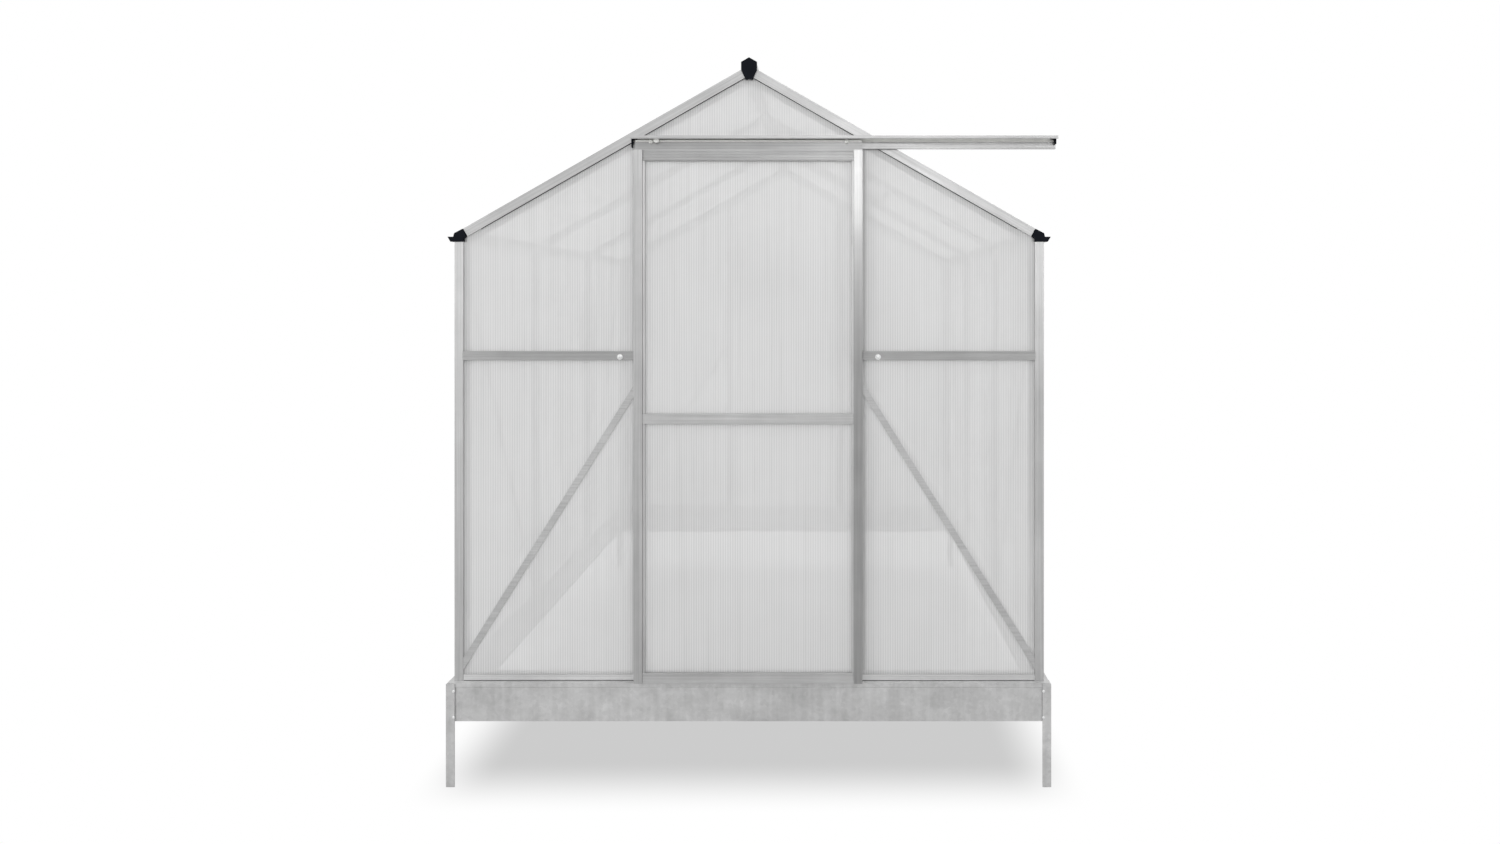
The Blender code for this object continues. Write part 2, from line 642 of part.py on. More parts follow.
def make_door_panels(shop, clear):
    """Upper and lower sheets, which meet behind the middle rail."""
    half = DOOR_HALF - STILE_FACE - 1.5
    face = (-HALF_DEPTH - DOOR_SHEET) * Y
    spans = (
        ("door_panel_lower", DOOR_FOOT + 4.0, DOOR_MID - 0.5),
        ("door_panel_upper", DOOR_MID + 0.5, HEAD_RAIL_TOP - WALL - 3.0),
    )
    for name, low, high in spans:
        outline = [(-half, low), (half, low), (half, high), (-half, high)]
        shop.prism(name, outline, clear, face, X, Z, -Y, SHEET, origin=face + (low + high) / 2 * Z)


def make_wheel(name, parent, nylon):
    """A grooved wheel whose origin, on its axle, is the parent empty."""
    half, groove = WHEEL_WIDTH / 2.0, WHEEL_RADIUS - GROOVE
    bottom, rim = GROOVE_HALF
    profile = [
        (WHEEL_BORE, -half), (WHEEL_RADIUS, -half), (WHEEL_RADIUS, -rim), (groove, -bottom),
        (groove, bottom), (WHEEL_RADIUS, rim), (WHEEL_RADIUS, half), (WHEEL_BORE, half),
    ]
    steps = 24
    build = bmesh.new()
    rings = []
    for i in range(steps):
        turn = 2 * math.pi * i / steps
        rings.append([build.verts.new((r * math.cos(turn) * MM, y * MM, r * math.sin(turn) * MM))
                      for r, y in profile])
    for i in range(steps):
        ring, following = rings[i], rings[(i + 1) % steps]
        for j in range(len(profile)):
            k = (j + 1) % len(profile)
            build.faces.new((ring[j], ring[k], following[k], following[j]))
    bmesh.ops.recalc_face_normals(build, faces=build.faces)
    mesh = bpy.data.meshes.new(name)
    build.to_mesh(mesh)
    build.free()
    mesh.materials.append(nylon)
    mesh.shade_smooth()
    mesh.set_sharp_from_angle(angle=math.radians(40))
    wheel = bpy.data.objects.new(name, mesh)
    bpy.context.scene.collection.objects.link(wheel)
    wheel.parent = parent


# ---- vent ----------------------------------------------------------------------------------------
def make_vent(house, aluminium, steel):
    """Vent on its hinge line at the ridge, and the stay that holds it open."""
    down = Vector((COS, 0, -SIN))
    below = Vector((-SIN, 0, -COS))
    hinge_at = roof_point(1, *VENT_HINGE)
    hinge = add_empty("vent_hinge_line", hinge_at, house)
    outline = [
        (-VENT_HALF, VENT_TOP), (VENT_HALF, VENT_TOP), (VENT_HALF, VENT_END), (-VENT_HALF, VENT_END),
    ]
    shop = Shop(hinge, hinge_at)
    at = roof_point(1, 0, 0) - below * (VENT_THICK + GAP)
    shop.prism("roof_vent", outline, aluminium, at, Y, down, below, VENT_THICK, origin=hinge_at)
    pivot_at = roof_point(1, *STAY_PIVOT)
    steps = 8
    turns = [math.pi * i / steps for i in range(steps + 1)]
    stay = [(-STAY_HALF * math.cos(t), -STAY_HALF * math.sin(t)) for t in turns]
    stay += [(STAY_HALF, STAY_LENGTH), (-STAY_HALF, STAY_LENGTH)]
    shop.prism("vent_stay", stay, steel, pivot_at - STAY_THICK / 2 * Y, down, below, Y, STAY_THICK,
               origin=pivot_at)


def build_greenhouse():
    """Make every piece and parent it where it belongs."""
    clear_scene()
    aluminium = material("mill_aluminium", (0.62, 0.63, 0.63), 0.42, 0.9)
    steel = material("galvanised_steel", (0.52, 0.53, 0.54), 0.5, 0.8)
    clear = material("twin_wall_polycarbonate", (0.86, 0.88, 0.88), 0.35, 0.0, alpha=0.45)
    plastic = material("black_plastic", (0.02, 0.021, 0.023), 0.55, 0.0)
    nylon = material("white_nylon", (0.8, 0.8, 0.78), 0.5, 0.0)

    offset = Vector((MIDDLE_X, MIDDLE_Y, 0))
    house = add_empty("greenhouse", -offset)
    frame = Shop(house, Vector((0, 0, 0)))
    make_base(frame, steel)
    make_stakes(frame, steel)
    make_posts(frame, aluminium)
    make_sills(frame, aluminium)
    make_studs(frame, aluminium)
    make_jambs(frame, aluminium)
    make_mid_rails(frame, aluminium)
    make_braces(frame, aluminium)
    make_rafters(frame, aluminium)
    make_roof_bars(frame, aluminium)
    make_ridge(frame, aluminium)
    make_gutters(frame, aluminium, plastic)
    make_ridge_cap(frame, plastic)
    make_front_sheets(frame, clear)
    make_rear_sheet(frame, clear)
    make_side_sheets(frame, clear)
    make_roof_sheets(frame, clear)
    make_track(frame, aluminium)

    door_at = Vector((0, -HALF_DEPTH, WHEEL_Z))
    door = add_empty("door_carriage", door_at, house)
    shop = Shop(door, door_at)
    make_door_frame(shop, aluminium)
    make_door_panels(shop, clear)
    for side, sx in (("left", -1), ("right", 1)):
        axle = add_empty(f"door_axle_{side}", Vector((sx * WHEEL_X, -WHEEL_PLANE, 0)), door)
        make_wheel(f"door_wheel_{side}", axle, nylon)
    make_vent(house, aluminium, steel)


build_greenhouse()
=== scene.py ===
"""Looks of the walk-in greenhouse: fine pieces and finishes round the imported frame.

Local sizes are in millimetres about the middle of the wall plan at the foot of the ground stakes,
with +X to the right when facing the door and +Y towards the back.  ORIGIN, read from the frame, turns
them into the shared frame's metres.
"""
import math

import bmesh
import bpy
from mathutils import Matrix, Vector


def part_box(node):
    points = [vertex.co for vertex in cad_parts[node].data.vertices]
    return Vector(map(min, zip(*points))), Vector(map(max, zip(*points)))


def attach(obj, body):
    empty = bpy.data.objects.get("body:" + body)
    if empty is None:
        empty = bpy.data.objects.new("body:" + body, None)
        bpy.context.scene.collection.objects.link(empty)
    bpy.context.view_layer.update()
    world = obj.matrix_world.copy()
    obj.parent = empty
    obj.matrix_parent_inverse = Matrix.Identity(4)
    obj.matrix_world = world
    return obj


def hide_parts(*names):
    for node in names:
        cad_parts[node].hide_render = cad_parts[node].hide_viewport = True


MM = 0.001
X = Vector((1.0, 0.0, 0.0))
Y = Vector((0.0, 1.0, 0.0))
Z = Vector((0.0, 0.0, 1.0))

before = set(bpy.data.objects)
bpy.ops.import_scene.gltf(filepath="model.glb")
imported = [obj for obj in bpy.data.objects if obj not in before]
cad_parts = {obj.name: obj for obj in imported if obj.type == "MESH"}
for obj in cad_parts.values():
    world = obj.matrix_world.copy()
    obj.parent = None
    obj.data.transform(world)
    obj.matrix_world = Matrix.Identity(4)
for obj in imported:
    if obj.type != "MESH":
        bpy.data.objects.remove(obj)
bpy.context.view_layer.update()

# ---- places read from the frame -----------------------------------------------------------------
WALLS_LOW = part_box("corner_post_front_left")[0]
WALLS_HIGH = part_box("corner_post_rear_right")[1]
ORIGIN = Vector(((WALLS_LOW.x + WALLS_HIGH.x) / 2, (WALLS_LOW.y + WALLS_HIGH.y) / 2, 0.0))
HALF = (WALLS_HIGH.x - WALLS_LOW.x) / 2 / MM      # outer wall faces, from the middle, both ways
BASE_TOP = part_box("base_front")[1].z / MM
POST_TOP = WALLS_HIGH.z / MM
RIDGE_HOOD = 20.5                                  # ridge beam's top above the roof lines' apex
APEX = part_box("ridge_beam")[1].z / MM - RIDGE_HOOD

# ---- sizes that repeat the CAD part's -----------------------------------------------------------
GAP = 0.3                                          # clearance between touching CAD pieces
EAVE_DROP = 531.0                                  # roof line's fall, from the apex to the wall
SLOPE = math.atan2(EAVE_DROP, HALF)
COS, SIN = math.cos(SLOPE), math.sin(SLOPE)
BAY = 2.0 * HALF / 3.0
LIP, LEG = 28.0, 48.0                              # posts' and rafters' outer face and inner flange
BAR_TOP, BAR_FACE, BAR_DEPTH, BAR_WEB = 7.0, 36.0, 32.0, 2.4
SILL_BACK = 30.0
RAIL_LEVEL = BASE_TOP + 1025.0                     # middle of the front mid rails
BRACE_HIGH = BASE_TOP + 922.0
OPENING_HALF = 328.0
DOOR_HALF, STILE_FACE = 355.5, 27.0
HEAD_RAIL_FACE = 30.0                              # front of the door's top rail, from the wall
HANGER_FACE = 15.5                                 # front of the door's hanging plate, from the wall
STAKE_PLANE = HALF + 18.0                          # outer face of the stakes
VENT_TOP, VENT_END, VENT_HALF, VENT_THICK = 32.0, 590.0, 300.0, 13.7
STAY_PIVOT = (540.0, 9.0)                          # (down the slope, below the roof line)
VENT_HINGE = (30.0, -7.0)
VENT_OPEN, STAY_TURN = math.radians(35.0), math.radians(17.5)    # joint limits

# ---- sizes of the fine pieces -------------------------------------------------------------------
STRAP_WIDTH, STRAP_THICK = 20.0, 2.0               # braces behind the side and rear sheets
GUSSET_THICK = 2.0
GUSSET_PLANE = HALF - 9.7                          # gusset's outer face, from the middle
STAY_HOLES = [60.0 + 44.0 * i for i in range(7)]   # distances from the stay's pivot
SIDES = (("left", -1), ("right", 1))
ENDS = (("front", -1), ("rear", 1))


# ---- mesh helpers -------------------------------------------------------------------------------
def roof_point(side, slope, depth, y=0.0):
    """Point down the slope and below the roof line, on side -1 or +1."""
    return Vector((side * (slope * COS - depth * SIN), y, APEX - slope * SIN - depth * COS))


def slope_directions(side):
    """Unit vectors down the slope and into the house, on side -1 or +1."""
    return Vector((side * COS, 0, -SIN)), Vector((-side * SIN, 0, -COS))


def roof_line(x):
    """Height of the roof line above a distance x from the middle."""
    return APEX - abs(x) * math.tan(SLOPE)


def local_box(node):
    """(lowest, highest) corner of a CAD node, in local millimetres."""
    low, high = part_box(node)
    return (low - ORIGIN) / MM, (high - ORIGIN) / MM


def finish_mesh(name, build, body, finish, bevel=0.0, smooth=40.0):
    """Turn a bmesh in local millimetres into a piece that rides on a body."""
    bmesh.ops.recalc_face_normals(build, faces=build.faces)
    for vert in build.verts:
        vert.co = ORIGIN + vert.co * MM
    mesh = bpy.data.meshes.new(name)
    build.to_mesh(mesh)
    build.free()
    mesh.materials.append(finish)
    piece = bpy.data.objects.new(name, mesh)
    bpy.context.scene.collection.objects.link(piece)
    soften(piece, bevel, smooth)
    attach(piece, body)
    return piece


def soften(piece, bevel, smooth=40.0):
    """Round a piece's edges a little and shade its curved faces smoothly."""
    mesh = piece.data
    if smooth:
        mesh.shade_smooth()
        mesh.set_sharp_from_angle(angle=math.radians(smooth))
    if bevel:
        rounding = piece.modifiers.new("edges", "BEVEL")
        rounding.width = bevel * MM
        rounding.segments = 2
        rounding.limit_method = "ANGLE"
        rounding.angle_limit = math.radians(35.0)
        rounding.harden_normals = True


def add_prism(build, outline, at, a, b, along, length):
    """Add an outline drawn on directions a and b, extruded for a length."""
    low = [build.verts.new(at + a * u + b * v) for u, v in outline]
    high = [build.verts.new(at + a * u + b * v + along * length) for u, v in outline]
    build.faces.new(low)
    build.faces.new(high)
    for i in range(len(low)):
        j = (i + 1) % len(low)
        build.faces.new((low[i], low[j], high[j], high[i]))


def prism(name, outline, at, a, b, along, length, body, finish, bevel=0.3):
    """One extruded piece."""
    build = bmesh.new()
    add_prism(build, outline, at, a, b, along, length)
    return finish_mesh(name, build, body, finish, bevel, smooth=0.0)


def facing(at, outward):
    """Matrix whose z axis points outward from a place."""
    return Matrix.Translation(at) @ outward.to_track_quat("Z", "Y").to_matrix().to_4x4()


def add_lathe(build, profile, steps, place):
    """Add a shape turned about z from (radius, height) points; radius 0 makes a pole."""
    rings = []
    for radius, height in profile:
        if radius == 0:
            rings.append([build.verts.new(place @ Vector((0, 0, height)))])
            continue
        turns = [2 * math.pi * i / steps for i in range(steps)]
        rings.append([
            build.verts.new(place @ Vector((radius * math.cos(t), radius * math.sin(t), height)))
            for t in turns
        ])
    for ring, following in zip(rings, rings[1:]):
        for i in range(steps):
            j = (i + 1) % steps
            corners = [ring[i % len(ring)], ring[j % len(ring)],
                       following[j % len(following)], following[i % len(following)]]
            unique = [v for k, v in enumerate(corners) if v not in corners[:k]]
            if len(unique) > 2:
                build.faces.new(unique)
    return rings


def add_washer(build, radius, thick, place):
    """A washer with eased edges, standing on z = 0."""
    ease = thick * 0.3
    profile = [(0, 0), (radius, 0), (radius, thick - ease), (radius - ease, thick), (0, thick)]
    add_lathe(build, profile, 28, place)


def add_pan_head(build, radius, height, place):
    """A domed screw head with a cross recess."""
    steps = 24
    top = radius * 0.66
    profile = [
        (0, 0), (radius, 0), (radius, height * 0.35), (radius * 0.94, height * 0.65),
        (radius * 0.82, height * 0.88), (top, height),
    ]
    rings = add_lathe(build, profile, steps, place)
    arm, half = top * 0.86, top * 0.2
    cross = [
        (half, half), (half, arm), (-half, arm), (-half, half), (-arm, half), (-arm, -half),
        (-half, -half), (-half, -arm), (half, -arm), (half, -half), (arm, -half), (arm, half),
    ]
    taper, floor = 0.7, height * 0.35
    rim = [build.verts.new(place @ Vector((u, v, height))) for u, v in cross]
    pit = [build.verts.new(place @ Vector((u * taper, v * taper, floor))) for u, v in cross]
    count = len(cross)
    for i in range(count):
        j = (i + 1) % count
        build.faces.new((rim[i], rim[j], pit[j], pit[i]))
    build.faces.new(pit)
    edges = [build.edges.get((rings[-1][i], rings[-1][(i + 1) % steps])) for i in range(steps)]
    edges += [build.edges.get((rim[i], rim[(i + 1) % count])) for i in range(count)]
    bmesh.ops.triangle_fill(build, use_beauty=True, use_dissolve=False, edges=edges)


def add_hex(build, flats, height, place):
    """A hexagon head or nut with its corners chamfered."""
    radius = flats / math.sqrt(3)
    inner = flats / 2 * 0.96
    profile = [(0, 0), (radius, 0), (radius, height * 0.8), (inner, height), (0, height)]
    add_lathe(build, profile, 6, place)


def fasteners(name, places, kind, body, finish, size=1.0):
    """All the like fasteners of one group, as one piece; places are (point, outward) pairs."""
    washer_radius = {"pan": 9.0, "hex": 7.0}[kind] * size
    washer_thick, sunk = 1.2, 0.1
    thread = [
        (0, 4), (2.7 * size, 4), (2.7 * size, 6.2 * size), (2.2 * size, 6.8 * size), (0, 6.8 * size),
    ]
    build = bmesh.new()
    for at, outward in places:
        place = facing(at, outward)
        add_washer(build, washer_radius, washer_thick, place)
        head = place @ Matrix.Translation((0, 0, washer_thick - sunk))
        if kind == "pan":
            add_pan_head(build, 6.0 * size, 3.6 * size, head)
        else:
            add_hex(build, 10.0 * size, 4.4 * size, head)
            add_lathe(build, thread, 16, head)
    return finish_mesh(name, build, body, finish, 0.0, 30.0)


# ---- materials ----------------------------------------------------------------------------------
FLUTE = 0.0076                                     # metres between the walls inside a sheet

# a Mix node's sockets have the same names for every kind of data, so they are picked by place
MIX_SHARE, MIX_FIRST_COLOUR, MIX_SECOND_COLOUR, MIX_COLOUR = 0, 6, 7, 2
MIX_FIRST_VALUE, MIX_SECOND_VALUE, MIX_VALUE = 2, 3, 0


def set_or_link(tree, socket, value):
    """Give an input a plain number, or join another node's output to it."""
    if isinstance(value, bpy.types.NodeSocket):
        tree.links.new(value, socket)
    elif socket.type == "RGBA":
        socket.default_value = (value, value, value, 1.0)
    else:
        socket.default_value = value


def mix_shaders(tree, share, first, second):
    """A Mix Shader node; the share of the second shader is a socket or a number."""
    node = tree.nodes.new("ShaderNodeMixShader")
    for socket, value in zip(node.inputs, (share, first, second)):
        set_or_link(tree, socket, value)
    return node.outputs[0]


def map_range(tree, source, from_low, from_high, to_low, to_high):
    """A smooth Map Range node from one span to another, held at its ends."""
    node = tree.nodes.new("ShaderNodeMapRange")
    node.interpolation_type = "SMOOTHSTEP"
    for socket, value in zip(node.inputs, (source, from_low, from_high, to_low, to_high)):
        set_or_link(tree, socket, value)
    return node.outputs["Result"]


class Finish:
    """A material under construction: one Principled shader and the nodes that feed it."""

    def __init__(self, name):
        self.material = bpy.data.materials.new(name)
        self.material.use_nodes = True
        self.tree = self.material.node_tree
        self.shader = self.tree.nodes["Principled BSDF"]
        self.coords = self.tree.nodes.new("ShaderNodeTexCoord").outputs["Object"]

    def put(self, **values):
        """Set plain values on the shader's sockets."""
        for name, value in values.items():
            self.shader.inputs[name.replace("_", " ")].default_value = value

    def mapped(self, size, turn=0.0):
        """Coordinates turned about Y and divided by a feature size in metres for each axis."""
        node = self.tree.nodes.new("ShaderNodeMapping")
        node.vector_type = "TEXTURE"
        node.inputs["Rotation"].default_value = (0.0, turn, 0.0)
        node.inputs["Scale"].default_value = size
        self.tree.links.new(self.coords, node.inputs["Vector"])
        return node.outputs["Vector"]

    def noise(self, size, detail=3.0, roughness=0.5, turn=0.0):
        """Noise with the given feature size, 0 to 1."""
        node = self.tree.nodes.new("ShaderNodeTexNoise")
        node.inputs["Scale"].default_value = 1.0
        node.inputs["Detail"].default_value = detail
        node.inputs["Roughness"].default_value = roughness
        self.tree.links.new(self.mapped(size, turn), node.inputs["Vector"])
        return node.outputs["Fac"]

    def cells(self, size):
        """Irregular cells of a size, each with a colour of its own, such as zinc spangle."""
        node = self.tree.nodes.new("ShaderNodeTexVoronoi")
        node.inputs["Scale"].default_value = 1.0
        self.tree.links.new(self.mapped((size, size, size)), node.inputs["Vector"])
        return node.outputs["Color"]

    def ramp(self, source, low, high, start=0.3, end=0.7):
        """Values or colours from low to high as the source goes from start to end."""
        node = self.tree.nodes.new("ShaderNodeValToRGB")
        ends = node.color_ramp.elements
        for element, value, position in ((ends[0], low, start), (ends[1], high, end)):
            colour = value if isinstance(value, tuple) else (value, value, value)
            element.color = (*colour, 1.0)
            element.position = position
        self.tree.links.new(source, node.inputs["Fac"])
        return node.outputs["Color"]

    def math(self, operation, *values):
        """A Math node; each value is a socket or a number."""
        node = self.tree.nodes.new("ShaderNodeMath")
        node.operation = operation
        for socket, value in zip(node.inputs, values):
            set_or_link(self.tree, socket, value)
        return node.outputs[0]

    def blend(self, first, second, share, how="MIX"):
        """Mix two colours or greys; each, and the share, is a socket or a number."""
        node = self.tree.nodes.new("ShaderNodeMix")
        node.data_type = "RGBA"
        node.blend_type = how
        set_or_link(self.tree, node.inputs[MIX_SHARE], share)
        set_or_link(self.tree, node.inputs[MIX_FIRST_COLOUR], first)
        set_or_link(self.tree, node.inputs[MIX_SECOND_COLOUR], second)
        return node.outputs[MIX_COLOUR]

    def feed(self, name, source):
        """Join a source to one of the shader's inputs."""
        self.tree.links.new(source, self.shader.inputs[name])

    def show(self, source):
        """Make a shader other than the Principled one the surface."""
        self.tree.links.new(source, self.tree.nodes["Material Output"].inputs["Surface"])

    def bump(self, source, height, strength=1.0):
        """Raise the surface by a height in metres where the source is 1."""
        node = self.tree.nodes.new("ShaderNodeBump")
        node.inputs["Distance"].default_value = height
        node.inputs["Strength"].default_value = strength
        self.tree.links.new(source, node.inputs["Height"])
        self.feed("Normal", node.outputs["Normal"])


def aluminium(name, direction, tone=1.0, rough=(0.36, 0.54)):
    """Extruded aluminium with fine die lines along a direction: x, y, z, left or right slope; a tone
    below 1 paints shade into its colour and a tone above 1 paints light.
    """
    along, across, fine = 0.5, 0.005, 0.0012
    turn = {"left": -SLOPE, "right": SLOPE}.get(direction, 0.0)
    axis = {"x": 0, "y": 1, "z": 2, "left": 0, "right": 0}[direction]
    coarse_size = [across] * 3
    fine_size = [fine] * 3
    coarse_size[axis] = along
    fine_size[axis] = along * 0.6
    made = Finish(name)
    streaks = made.noise(coarse_size, 2.0, 0.6, turn)
    lines = made.noise(fine_size, 2.0, 0.5, turn)
    cloud = made.noise((0.16, 0.16, 0.16), 4.0, 0.6)
    colour = made.ramp(streaks, 0.47 * tone, 0.58 * tone, 0.32, 0.7)
    dull = made.ramp(cloud, 0.88, 1.04, 0.3, 0.72)
    made.feed("Base Color", made.blend(colour, dull, 1.0, "MULTIPLY"))
    made.feed("Roughness", made.ramp(lines, rough[0], rough[1], 0.3, 0.7))
    made.bump(lines, 0.00006, 0.5)
    made.put(Metallic=0.8)
    return made.material


def galvanised(name):
    """Dull hot-dip zinc: soft spangle, cloudy patches and faint runs."""
    made = Finish(name)
    spangle = made.cells(0.011)
    cloud = made.noise((0.11, 0.11, 0.07), 5.0, 0.62)
    grain = made.noise((0.003, 0.003, 0.003), 3.0, 0.6)
    runs = made.noise((0.02, 0.02, 0.3), 3.0, 0.55)
    tone = made.ramp(cloud, 0.48, 0.63, 0.3, 0.7)
    tone = made.blend(tone, made.ramp(spangle, 0.88, 1.06, 0.1, 0.9), 0.55, "MULTIPLY")
    tone = made.blend(tone, made.ramp(runs, 0.9, 1.05, 0.35, 0.65), 0.6, "MULTIPLY")
    made.feed("Base Color", tone)
    made.feed("Roughness", made.ramp(grain, 0.42, 0.62))
    made.bump(grain, 0.00008, 0.5)
    made.put(Metallic=0.6)
    return made.material


def zinc_plate(name):
    """Bright plating on the small fasteners."""
    made = Finish(name)
    grain = made.noise((0.0016, 0.0016, 0.0016), 3.0)
    made.feed("Base Color", made.ramp(grain, (0.74, 0.75, 0.76), (0.88, 0.88, 0.87)))
    made.feed("Roughness", made.ramp(grain, 0.24, 0.4))
    made.put(Metallic=0.6)
    return made.material


def moulded(name, dark, light, roughness, shine=0.5):
    """Moulded plastic with a fine grain."""
    made = Finish(name)
    grain = made.noise((0.0012, 0.0012, 0.0012), 2.0)
    cloud = made.noise((0.03, 0.03, 0.03), 3.0)
    made.feed("Base Color", made.ramp(cloud, dark, light))
    made.feed("Roughness", made.ramp(grain, roughness - 0.06, roughness + 0.08))
    made.bump(grain, 0.00005, 0.6)
    made.put(Specular_IOR_Level=shine)
    return made.material


def twin_wall(name, across):
    """Translucent twin-wall sheet whose flutes stand side by side along an axis: x or y."""
    made = Finish(name)
    axis = {"x": 0, "y": 1}[across]
    separate = made.tree.nodes.new("ShaderNodeSeparateXYZ")
    made.tree.links.new(made.coords, separate.inputs[0])
    place = made.math("MULTIPLY", separate.outputs[axis], 2 * math.pi / FLUTE)
    wave = made.math("SINE", place, 0.0)
    rib = made.math("POWER", made.math("MULTIPLY_ADD", wave, 0.5, 0.5), 3.0)
    size = [0.6, 0.6, 0.6]
    size[axis] = 0.012
    streak = made.noise(size, 2.0, 0.6)
    haze = made.noise((0.34, 0.34, 0.3), 3.0, 0.5)
    tone = made.ramp(streak, 0.845, 0.885, 0.3, 0.7)
    tone = made.blend(tone, made.ramp(haze, 0.96, 1.03, 0.3, 0.7), 1.0, "MULTIPLY")
    depth = made.math("MULTIPLY", made.ramp(haze, 0.12, 0.5, 0.4, 0.65), rib)
    tone = made.blend(tone, 0.74, depth)
    made.feed("Base Color", tone)
    made.feed("Roughness", made.ramp(streak, 0.26, 0.4))
    made.bump(wave, 0.00012, 0.35)
    made.put(IOR=1.58)
    glow = made.tree.nodes.new("ShaderNodeBsdfTranslucent")
    made.tree.links.new(tone, glow.inputs["Color"])
    clear = made.tree.nodes.new("ShaderNodeBsdfTransparent")
    body = mix_shaders(made.tree, 0.5, made.shader.outputs[0], glow.outputs[0])
    cover = made.math("ADD", made.math("MULTIPLY", rib, 0.16), 0.66)
    made.show(mix_shaders(made.tree, cover, clear.outputs[0], body))
    return made.material


# ---- finishes for the CAD nodes -----------------------------------------------------------------
ALONG = {axis: aluminium(f"aluminium_{axis}", axis) for axis in ("x", "y", "z", "left", "right")}
# a darker copy of the aluminium, painting shade on the rafters, roof bars, roof strips, door track,
# hood bead and vent frame
PAINTED_SHADE_ALONG = {axis: aluminium(f"aluminium_painted_shade_{axis}", axis, 0.84) for axis in ALONG}
# a darker copy of the aluminium for the door's top rail and its ribs, painting the shade under the
# track's hood
HEAD_X_PAINTED_SHADE = aluminium("aluminium_head_painted_shade_x", "x", 0.66)
# a darker copy of the aluminium for the front mid rails and their ribs, painting shade on them
RAIL_X_PAINTED_SHADE = aluminium("aluminium_rail_painted_shade_x", "x", 0.74)
# a lighter copy of the aluminium for the front and rear sills, painting light on them
PAINTED_LIGHT_X = aluminium("aluminium_painted_light_x", "x", 1.3)
# a lighter copy of the aluminium for the door's beads, painting light over the shade on the stiles'
# lips
PAINTED_LIGHT_Z = aluminium("aluminium_painted_light_z", "z", 1.1)
# a darker copy of the aluminium for the door's left stile, painting shade on it
STILE_Z_PAINTED_SHADE = aluminium("aluminium_stile_painted_shade_z", "z", 0.91)
# glossier aluminium for the door's right stile; its darker colour paints shade on it
POLISHED_PAINTED_SHADE = aluminium("aluminium_polished_painted_shade_z", "z", 0.69, (0.29, 0.37))
STEEL = galvanised("galvanised_steel")
ZINC = zinc_plate("zinc_plated")
BLACK = moulded("black_plastic", (0.002, 0.003, 0.006), (0.004, 0.005, 0.009), 0.5, 0.08)
RUBBER = moulded("rubber", (0.02, 0.02, 0.021), (0.035, 0.035, 0.036), 0.7, 0.2)
NYLON = moulded("white_nylon", (0.74, 0.74, 0.72), (0.84, 0.84, 0.81), 0.42)
CLEAR_X = twin_wall("twin_wall_across_x", "x")
CLEAR_Y = twin_wall("twin_wall_across_y", "y")


def finish_for(node):
    """The material for a CAD node, from its name."""
    if node.startswith(("base_", "ground_stake", "vent_stay")):
        return STEEL
    if node.startswith(("gutter_cap", "ridge_cap")):
        return BLACK
    if node.startswith("door_wheel"):
        return NYLON
    if node.startswith(("sheet_left", "sheet_right", "sheet_roof")):
        return CLEAR_Y
    if node.startswith(("sheet_", "door_panel")):
        return CLEAR_X
    if node.startswith(("gutter_", "ridge_beam", "sill_left", "sill_right")):
        return ALONG["y"]
    if node.startswith(("rafter_", "roof_bar_")):
        return PAINTED_SHADE_ALONG["left" if "left" in node else "right"]
    if node == "door_rail_top":
        return HEAD_X_PAINTED_SHADE
    if node.startswith("front_mid_rail"):
        return RAIL_X_PAINTED_SHADE
    if node == "door_track":
        return PAINTED_SHADE_ALONG["x"]
    if node == "door_stile_left":
        return STILE_Z_PAINTED_SHADE
    if node.startswith("sill_"):
        return PAINTED_LIGHT_X
    if node.startswith(("door_rail", "front_brace")):
        return ALONG["x"]
    if node == "door_stile_right":
        return POLISHED_PAINTED_SHADE
    return ALONG["z"]


for node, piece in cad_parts.items():
    piece.data.materials.clear()
    piece.data.materials.append(finish_for(node))
    if not node.startswith(("sheet_", "door_panel", "door_wheel")):
        soften(piece, 0.35, 0.0)


# ---- camera, light and floor --------------------------------------------------------------------
# soft squares of shadow: reach outside the walls, half the width of the edge, tone
SHADOWS = ((12.0, 130.0, 0.605), (-560.0, 160.0, 0.42))
# lights: name, place and aim in millimetres, side in metres, power in watts
LIGHTS = (
    ("key", (-4200, -4600, 2400), (-400, -900, 1100), 3.2, 48.0),
    ("top", (300, 200, 5200), (0, 0, 1000), 5.0, 70.0),
    ("rafter_side", (1750, -4220, 2200), (800, -900, 1800), 0.5, 7.5),
    ("door_side", (560, -6100, 2860), (340, -900, 1900), 0.9, 30.0),
)


def make_camera():
    """A wide lens, level, a little right of the middle and close to the door."""
    aside, distance, height = 254.6, 2350.0, 1540.0
    data = bpy.data.cameras.new("camera")
    data.sensor_width = 36.0
    data.lens = 17.89
    data.shift_x = -0.0533
    data.shift_y = -0.0847
    camera = bpy.data.objects.new("camera", data)
    camera.location = ORIGIN + Vector((aside, -HALF - distance, height)) * MM
    camera.rotation_euler = (math.radians(90.0), 0, 0)
    bpy.context.scene.collection.objects.link(camera)
    bpy.context.scene.camera = camera


